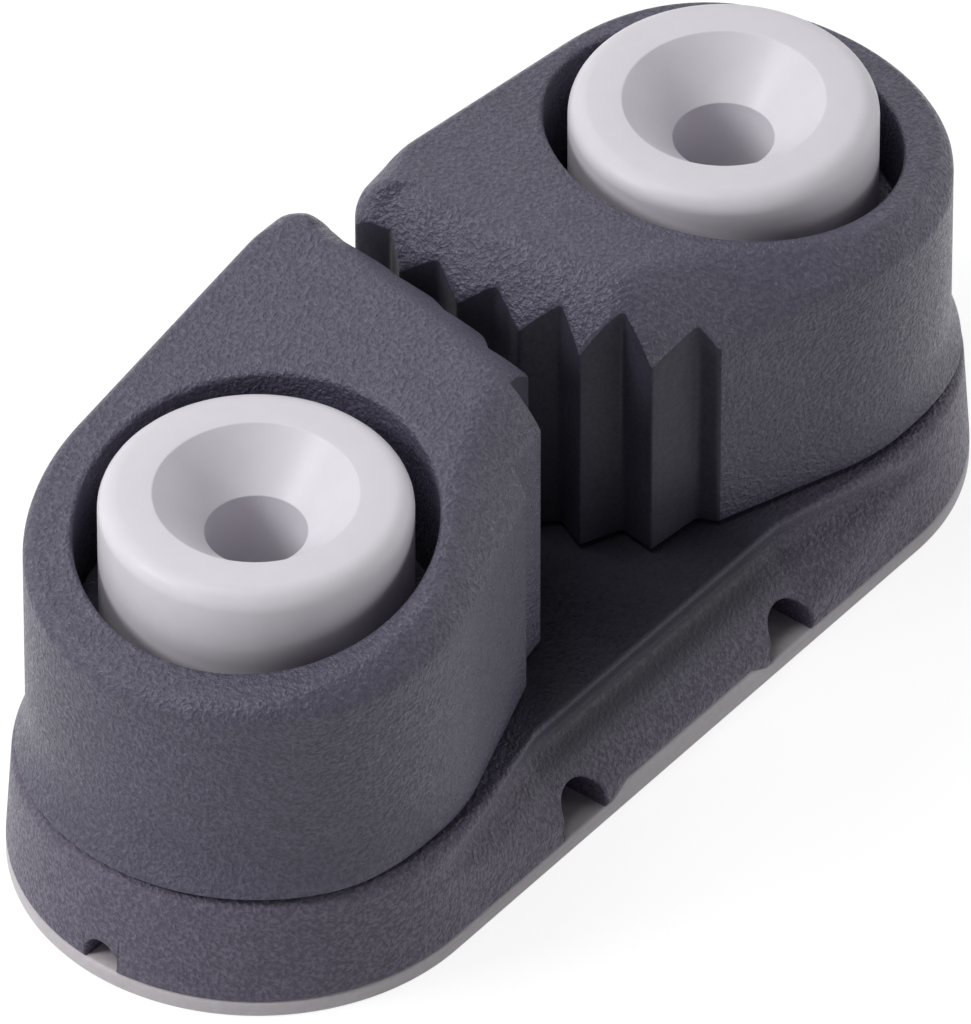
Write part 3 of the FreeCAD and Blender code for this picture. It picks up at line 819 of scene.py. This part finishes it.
def oblong_solid(name, rows, circles, blend_top, blend_bottom, material):
    outer = [all_round(place_on_oblong(*row)) for row in rows]
    points = [np.concatenate(outer)]
    count = len(outer[0])
    numbers = [np.arange(count) + i * count for i in range(len(outer))]
    faces = stack_faces(numbers)
    total = count * len(outer)
    middle = {}
    for key, loop in (("bottom", outer[0]), ("top", outer[-1])):
        start, end = loop[0], loop[count // 2]
        t = np.linspace(0, 1, MIDDLE_STEPS + 1)[1:-1, None]
        points.append(end + (start - end) * t)
        middle[key] = np.arange(MIDDLE_STEPS - 1) + total
        total += MIDDLE_STEPS - 1
    half = np.arange(count // 2 + 1)
    for sign, columns in ((1, half), (-1, (half + count // 2) % count)):
        top = np.concatenate((numbers[-1][columns], middle["top"][::sign]))
        bottom = np.concatenate((numbers[0][columns], middle["bottom"][::sign]))
        known = np.concatenate(points)
        pivot = np.array((sign * HALF, 0.0))
        offset = known[top][:, :2] - pivot
        angle = np.arctan2(offset[:, 1], offset[:, 0])
        unit = np.stack((np.cos(angle), np.sin(angle)), axis=1)

        def circle(radius, z):
            return np.column_stack((pivot + unit * radius, np.full(len(unit), z)))

        loops = [top]
        first = circle(*circles[0])
        last = circle(*circles[-1])
        new = [known[top] + (first - known[top]) * t for t in blend_top]
        new += [circle(*c) for c in circles]
        new += [known[bottom] + (last - known[bottom]) * t for t in blend_bottom]
        for loop in new:
            points.append(loop)
            loops.append(np.arange(len(loop)) + total)
            total += len(loop)
        loops.append(bottom)
        faces += stack_faces(loops)
    return finish_piece(name, np.concatenate(points), faces, material)


# %% [markdown]
# The base body: under its edge, over the rounded lower lip, up the flank, over the deck edge, across the
# deck and down into the tub round each post, where the spring lives. The deck edge is crisp where the rope
# runs over it and softer under the cams.

# %% Build the base body
LOWER_EDGE = 0.17
DECK_EDGE_AT_COVE = 0.3
DECK_EDGE_AT_ENDS = 0.75
DECK_EDGE_END_X = 20.0
FLANK_ROWS = 30
TUB_R = 10.8
TUB_FLOOR_Z = 2.6
TUB_EDGE = 0.2
BOSS_R = 6.6
BOSS_TOP_Z = 6.8
STEM_R = 5.0
INNER_DEPTH = 6.2
TUB_SECTION = [(TUB_R, 5.0), (TUB_R, TUB_FLOOR_Z), (8.7, TUB_FLOOR_Z), (BOSS_R, TUB_FLOOR_Z), (BOSS_R, 4.7),
               (BOSS_R, BOSS_TOP_Z), (STEM_R, BOSS_TOP_Z), (STEM_R, 3.9), (STEM_R, PLATE_T)]


def edge_normals(edge):
    """Unit normals of the lower edge line, pointing up into the flank."""
    along = np.gradient(edge, axis=0)
    normal = np.stack((-along[:, 1], along[:, 0]), axis=1)
    normal /= np.linalg.norm(normal, axis=1)[:, None]
    normal[0] = (0, 1)
    normal[-1] = (0, 1)
    return normal


def build_base_body():
    q, z = edge_line.T
    normal = edge_normals(edge_line) * LOWER_EDGE
    rows = [(deck_q, INNER_DEPTH, PLATE_T), (deck_q, recess + 0.5, PLATE_T), (q, recess, z),
            (q, recess * 0.5, z)]
    for shrink, grow in quarter_round(4):
        eq, ez = (edge_line + normal * grow).T
        rows.append((eq, flank_inset(eq, ez) + LOWER_EDGE * shrink, ez))
    low_q, low_z = (edge_line + normal).T
    edge_r = ease(deck_q, ((COVE_FULL_X, DECK_EDGE_AT_COVE), (DECK_EDGE_END_X, DECK_EDGE_AT_ENDS)))
    for t in np.linspace(0, 1, FLANK_ROWS + 1)[1:]:
        fq = low_q + (deck_q - low_q) * t
        fz = low_z + (DECK_Z - edge_r - low_z) * t
        rows.append((fq, flank_inset(fq, fz), fz))
    for shrink, grow in quarter_round(6)[1:]:
        fz = DECK_Z - edge_r * shrink
        rows.append((deck_q, flank_inset(deck_q, fz) + edge_r * grow, fz))
    circles = [(TUB_R + TUB_EDGE * shrink, DECK_Z - TUB_EDGE * grow) for shrink, grow in quarter_round(3)]
    piece = oblong_solid("base_moulding", rows, circles + TUB_SECTION, (0.2, 0.4, 0.6, 0.8), (0.5,),
                         base_nylon_painted_light_and_shade)
    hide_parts("base_body")
    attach(piece, "base")


build_base_body()

# %% [markdown]
# The grey plate shows as a thin bright line under the base, and as a low lip in the middle of each long
# side. It is the same oblong with a much simpler section: up its edge, over the top, in to the screw hole.

# %% Build the plate
PLATE_EDGE = 0.2
LIP_LEAN = 0.06
SCREW_HOLE_R = 2.6


def build_plate():
    top_z = np.where(edge_line[:, 0] <= LIP_FOOT_X, edge_line[:, 1], PLATE_T)
    lean = flank_inset(deck_q, top_z)
    rows = [(INNER_DEPTH, 0.0)]
    rows += [(PLATE_EDGE * shrink, PLATE_EDGE * grow) for shrink, grow in quarter_round(4)]
    rows += [(0.0, PLATE_T / 2)]
    rows += [(lean + PLATE_EDGE * grow, top_z - PLATE_EDGE * shrink) for shrink, grow in quarter_round(4)]
    rows += [(LIP_DEPTH - LIP_LEAN, top_z), (LIP_DEPTH, PLATE_T), (INNER_DEPTH, PLATE_T)]
    rows = [(deck_q, inset, z) for inset, z in rows]
    circles = [(SCREW_HOLE_R, z) for z in (PLATE_T, PLATE_T / 2, 0.0)]
    piece = oblong_solid("deck_plate", rows, circles, (0.5,), (0.5,), plate_grey)
    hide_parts("bottom_plate")
    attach(piece, "base")


build_plate()

# %% [markdown]
# The posts are turned parts: a section spun round the pivot. Geometry Nodes does that with Curve to Mesh,
# which carries a profile round a circle. The profile is a closed line of points, and a Fillet Curve rounds
# each corner by the number stored on its point. The circle has a radius of one millimetre, which the
# profile takes off again, because a circle of no radius has no direction.

# %% Lathe tree
AXIS_R = 1.0


def new_tree(name, **inputs):
    """A tree with geometry in and out, and named inputs, listed by their kind of socket."""
    tree = bpy.data.node_groups.new(name, "GeometryNodeTree")
    rows = [("Geometry", "INPUT", "Geometry"), ("Geometry", "OUTPUT", "Geometry")]
    rows += [(label, "INPUT", kind) for kind, labels in inputs.items() for label in labels]
    for label, way, kind in rows:
        tree.interface.new_socket(label, in_out=way, socket_type="NodeSocket" + kind)
    return tree, add_node(tree, "NodeGroupInput"), add_node(tree, "NodeGroupOutput")


def close_tree(tree, given, shape, output, result):
    """End a tree in Realize Instances and Set Material, because the export drops instances."""
    real = add_node(tree, "GeometryNodeRealizeInstances")
    paint = add_node(tree, "GeometryNodeSetMaterial")
    wire_up(tree, ((shape, output, real, "Geometry"), (real, "Geometry", paint, "Geometry"),
                   (given, "Finish", paint, "Material"), (paint, "Geometry", result, "Geometry")))
    return tree


def lathe_tree():
    tree, given, result = new_tree("lathe", Vector=("Pivot",), Int=("Facets", "Corner Steps"),
                                   Material=("Finish",))
    profile = add_node(tree, "GeometryNodeMeshToCurve")
    corner = add_node(tree, "GeometryNodeInputNamedAttribute", {"Name": "corner"})
    corner.data_type = "FLOAT"
    fillet = add_node(tree, "GeometryNodeFilletCurve")
    fillet.mode = "POLY"
    path = add_node(tree, "GeometryNodeCurvePrimitiveCircle", {"Radius": AXIS_R * MM})
    spin = add_node(tree, "GeometryNodeCurveToMesh")
    move = add_node(tree, "GeometryNodeTransform")
    wire_up(tree, ((given, "Geometry", profile, "Mesh"), (profile, "Curve", fillet, "Curve"),
                   (corner, "Attribute", fillet, "Radius"), (given, "Corner Steps", fillet, "Count"),
                   (given, "Facets", path, "Resolution"), (path, "Curve", spin, "Curve"),
                   (fillet, "Curve", spin, "Profile Curve"), (spin, "Mesh", move, "Geometry"),
                   (given, "Pivot", move, "Translation")))
    return close_tree(tree, given, move, "Geometry", result)


def run_tree(name, start_mesh, tree, values):
    """Evaluate a tree on a start mesh and keep the result as a plain mesh piece."""
    seed = add_object(name + "_seed", start_mesh)
    modifier = seed.modifiers.new("tree", "NODES")
    modifier.node_group = tree
    for item in tree.interface.items_tree:
        if item.in_out == "INPUT" and item.name in values:
            modifier[item.identifier] = values[item.name]
    graph = bpy.context.evaluated_depsgraph_get()
    mesh = bpy.data.meshes.new_from_object(seed.evaluated_get(graph))
    mesh.name = name
    seed.modifiers.clear()
    bpy.data.objects.remove(seed)
    return keep_piece(name, mesh)


def profile_mesh(name, section):
    """Closed profile for the lathe tree, which counts z downwards, from (radius, z, corner) in mm."""
    mesh = bpy.data.meshes.new(name)
    count = len(section)
    mesh.from_pydata([((r - AXIS_R) * MM, -z * MM, 0) for r, z, c in section],
                     [(i, (i + 1) % count) for i in range(count)], [])
    corner = mesh.attributes.new("corner", "FLOAT", "POINT")
    corner.data.foreach_set("value", [c * MM for r, z, c in section])
    return mesh


lathe = lathe_tree()

# %% [markdown]
# The posts are grey acetal bushes with a broad head that stands a little above each cam. The screw passes
# through them, so the head has a countersink. Its rim is well rounded, and the inner edges are only broken.

# %% Build the posts
POST_SECTION = ((2.6, 21.4, 0.12), (5.2, 24.0, 0.16), (7.95, 24.0, 1.05), (7.95, 15.8, 0.15),
                (5.0, 15.8, 0.0), (5.0, 1.0, 0.0), (2.6, 1.0, 0.0))
POST_FACETS = 160
POST_CORNER_STEPS = 8

for side_name, side_sign in SIDES:
    post = run_tree(side_name + "_post_bush", profile_mesh("post_profile", POST_SECTION), lathe,
                    {"Pivot": (side_sign * HALF * MM, 0, 0), "Facets": POST_FACETS,
                     "Corner Steps": POST_CORNER_STEPS, "Finish": grey_acetal})
    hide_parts(side_name + "_post")
    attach(post, "base")

# %% [markdown]
# Two rows of twelve balls carry each cam. They repeat round a circle, so a tree puts one ball on every
# point of a ring of points. The balls are small and hidden, so each has a modest number of faces.

# %% Balls
BALL_R = 1.0
BALL_SEGMENTS = 20
BALL_RINGS = 12
BALL_PITCH_R = 6.25
BALLS_IN_ROW = 12
BALL_ROW_Z = {"lower": 9.85, "upper": 13.25}


def ball_row_tree():
    tree, given, result = new_tree("ball_row", Vector=("Centre",), Float=("Pitch Radius", "Ball Radius"),
                                   Int=("Count",), Material=("Finish",))
    ring = add_node(tree, "GeometryNodeMeshCircle")
    ball = add_node(tree, "GeometryNodeMeshUVSphere", {"Segments": BALL_SEGMENTS, "Rings": BALL_RINGS})
    place = add_node(tree, "GeometryNodeInstanceOnPoints")
    move = add_node(tree, "GeometryNodeTransform")
    wire_up(tree, ((given, "Count", ring, "Vertices"), (given, "Pitch Radius", ring, "Radius"),
                   (given, "Ball Radius", ball, "Radius"), (ring, "Mesh", place, "Points"),
                   (ball, "Mesh", place, "Instance"), (place, "Instances", move, "Geometry"),
                   (given, "Centre", move, "Translation")))
    return close_tree(tree, given, move, "Geometry", result)


ball_row = ball_row_tree()
for side_name, side_sign in SIDES:
    for row_name, row_z in BALL_ROW_Z.items():
        row_values = {"Centre": (side_sign * HALF * MM, 0, row_z * MM), "Pitch Radius": BALL_PITCH_R * MM,
                      "Ball Radius": BALL_R * MM, "Count": BALLS_IN_ROW, "Finish": white_acetal}
        balls = run_tree(side_name + "_" + row_name + "_ball_row", bpy.data.meshes.new("seed"), ball_row,
                         row_values)
        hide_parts(side_name + "_" + row_name + "_balls")
        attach(balls, side_name + "_jaw")

# %% [markdown]
# The spring that shuts each cam is a coil of round wire with one leg out into the base and one leg up into
# the cam. A line of points is bent into the coil by a formula of its own index, the points at both ends
# become the legs, and a circle is carried along the line. The hand input mirrors the coil for the other
# side by turning its X round, so the tube itself is never turned inside out.

# %% Springs
WIRE_R = 0.6
COIL_R = 8.6
COIL_Z = 3.3
COIL_PITCH = 1.35
COIL_TURNS = 2.4
COIL_POINTS = 121
BASE_LEG_R = 11.4
CAM_LEG_R = 9.9
CAM_LEG_TOP_Z = 10.6
LEG_BEND_R = 0.75
LEG_BEND_STEPS = 5
WIRE_FACETS = 14


def coil_tree():
    tree, given, result = new_tree(
        "coil_spring", Float=("Hand", "Coil Radius", "Turns", "Rise", "Wire Radius", "Bend Radius"),
        Vector=("Base Leg End", "Cam Leg Foot", "Cam Leg End", "Coil Start", "Pivot"),
        Int=("Coil Points",), Material=("Finish",))
    sizes = given.outputs
    count = sizes["Coil Points"]
    index = add_node(tree, "GeometryNodeInputIndex").outputs["Index"]

    def choose(passed, line_so_far, leg_point):
        """The line so far, with a leg's point where the index has passed the end of the coil."""
        node = add_node(tree, "GeometryNodeSwitch")
        node.input_type = "VECTOR"
        feed(tree, node, {"Switch": passed, "False": line_so_far, "True": sizes[leg_point]})
        return node.outputs["Output"]

    part = maths(tree, "DIVIDE", maths(tree, "SUBTRACT", index, 1.0), maths(tree, "SUBTRACT", count, 1.0))
    turns = maths(tree, "MULTIPLY", part, sizes["Turns"])
    angle = maths(tree, "ADD", maths(tree, "MULTIPLY", turns, 2.0 * math.pi), math.pi)
    values = {"Z": maths(tree, "MULTIPLY", part, sizes["Rise"])}
    for axis, wave in (("X", "COSINE"), ("Y", "SINE")):
        values[axis] = maths(tree, "MULTIPLY", maths(tree, wave, angle), sizes["Coil Radius"])
    spot = add_node(tree, "ShaderNodeCombineXYZ", values)
    lift = add_node(tree, "ShaderNodeVectorMath", {0: spot.outputs[0], 1: sizes["Coil Start"]})
    bent = choose(maths(tree, "LESS_THAN", index, 0.5), lift.outputs[0], "Base Leg End")
    for past_end, leg_point in ((0.5, "Cam Leg Foot"), (1.5, "Cam Leg End")):
        passed = maths(tree, "GREATER_THAN", index, maths(tree, "ADD", count, past_end))
        bent = choose(passed, bent, leg_point)
    handed = add_node(tree, "ShaderNodeCombineXYZ", {"X": sizes["Hand"], "Y": 1.0, "Z": 1.0})
    turned = add_node(tree, "ShaderNodeVectorMath")
    turned.operation = "MULTIPLY_ADD"
    feed(tree, turned, {0: bent, 1: handed.outputs[0], 2: sizes["Pivot"]})
    line = add_node(tree, "GeometryNodeMeshLine", {"Count": maths(tree, "ADD", count, 3.0)})
    bend = add_node(tree, "GeometryNodeSetPosition")
    path = add_node(tree, "GeometryNodeMeshToCurve")
    corners = add_node(tree, "GeometryNodeFilletCurve")
    corners.mode = "POLY"
    feed(tree, corners, {"Count": LEG_BEND_STEPS, "Limit Radius": True})
    section = add_node(tree, "GeometryNodeCurvePrimitiveCircle", {"Resolution": WIRE_FACETS})
    wire = add_node(tree, "GeometryNodeCurveToMesh", {"Fill Caps": True})
    wire_up(tree, ((line, "Mesh", bend, "Geometry"), (turned, 0, bend, "Position"),
                   (bend, "Geometry", path, "Mesh"), (path, "Curve", corners, "Curve"),
                   (given, "Bend Radius", corners, "Radius"), (given, "Wire Radius", section, "Radius"),
                   (corners, "Curve", wire, "Curve"), (section, "Curve", wire, "Profile Curve")))
    return close_tree(tree, given, wire, "Mesh", result)


coil = coil_tree()
end_angle = math.pi + 2.0 * math.pi * COIL_TURNS
leg = (CAM_LEG_R * math.cos(end_angle) * MM, CAM_LEG_R * math.sin(end_angle) * MM)
coil_rise = COIL_PITCH * COIL_TURNS * MM
for side_name, side_sign in SIDES:
    coil_values = {"Hand": -side_sign, "Coil Radius": COIL_R * MM, "Turns": COIL_TURNS, "Rise": coil_rise,
                   "Wire Radius": WIRE_R * MM, "Bend Radius": LEG_BEND_R * MM, "Coil Points": COIL_POINTS,
                   "Base Leg End": (-BASE_LEG_R * MM, 0, COIL_Z * MM), "Coil Start": (0, 0, COIL_Z * MM),
                   "Cam Leg Foot": (*leg, COIL_Z * MM + coil_rise), "Finish": spring_steel,
                   "Cam Leg End": (*leg, CAM_LEG_TOP_Z * MM), "Pivot": (side_sign * HALF * MM, 0, 0)}
    spring = run_tree(side_name + "_torsion_spring", bpy.data.meshes.new("seed"), coil, coil_values)
    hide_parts(side_name + "_spring")
    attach(spring, "base")

# %% [markdown]
# The washers, races and cages sit out of sight under the heads. Their solids are right as they are, so they
# stay and only get their finish.

# %% Finish the bearing parts
HIDDEN_FINISH = {"lower_washer": white_acetal, "upper_washer": black_nylon, "cam_race": black_nylon,
                 "lower_ball_cage": white_acetal, "upper_ball_cage": white_acetal}
for side_name, side_sign in SIDES:
    for part_name, finish in HIDDEN_FINISH.items():
        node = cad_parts[side_name + "_" + part_name]
        node.data.materials.clear()
        node.data.materials.append(finish)
